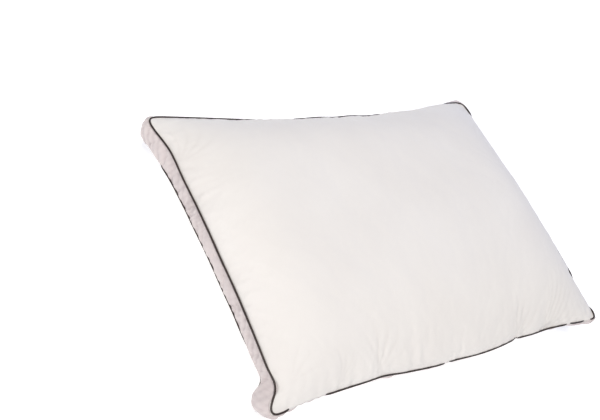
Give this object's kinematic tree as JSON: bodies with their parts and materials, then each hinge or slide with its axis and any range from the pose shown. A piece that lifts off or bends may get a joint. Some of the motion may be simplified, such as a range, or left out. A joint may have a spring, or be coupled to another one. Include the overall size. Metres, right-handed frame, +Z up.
{
  "type": "bed pillow",
  "caption": "Plump rectangular bed pillow with a gusset all round, dark corded piping on both seams and a loose down filling.",
  "frame": {"origin": "middle of the bottom panel's flat patch, on the surface the pillow lies on", "axes": "+X along the long side, +Y along the short side, +Z up through the pillow's thickness"},
  "size_m": [0.7184, 0.5174, 0.156],
  "materials": {
    "casing_cotton": "matte",
    "piping_satin": "satin",
    "filler_cord": "matte",
    "sewing_thread": "satin",
    "down_filling": "matte",
    "label_tape": "satin"
  },
  "bodies": {
    "root": {"top_panel": "casing_cotton", "bottom_panel": "casing_cotton", "gusset_left": "casing_cotton", "gusset_right": "casing_cotton", "top_piping_cover": "piping_satin", "top_piping_cord": "filler_cord", "bottom_piping_cover": "piping_satin", "bottom_piping_cord": "filler_cord", "top_seam_thread": "sewing_thread", "bottom_seam_thread": "sewing_thread", "gusset_join_threads": "sewing_thread", "closing_stitches": "sewing_thread", "down_fill": "down_filling", "care_label": "label_tape"}
  },
  "joints": []
}
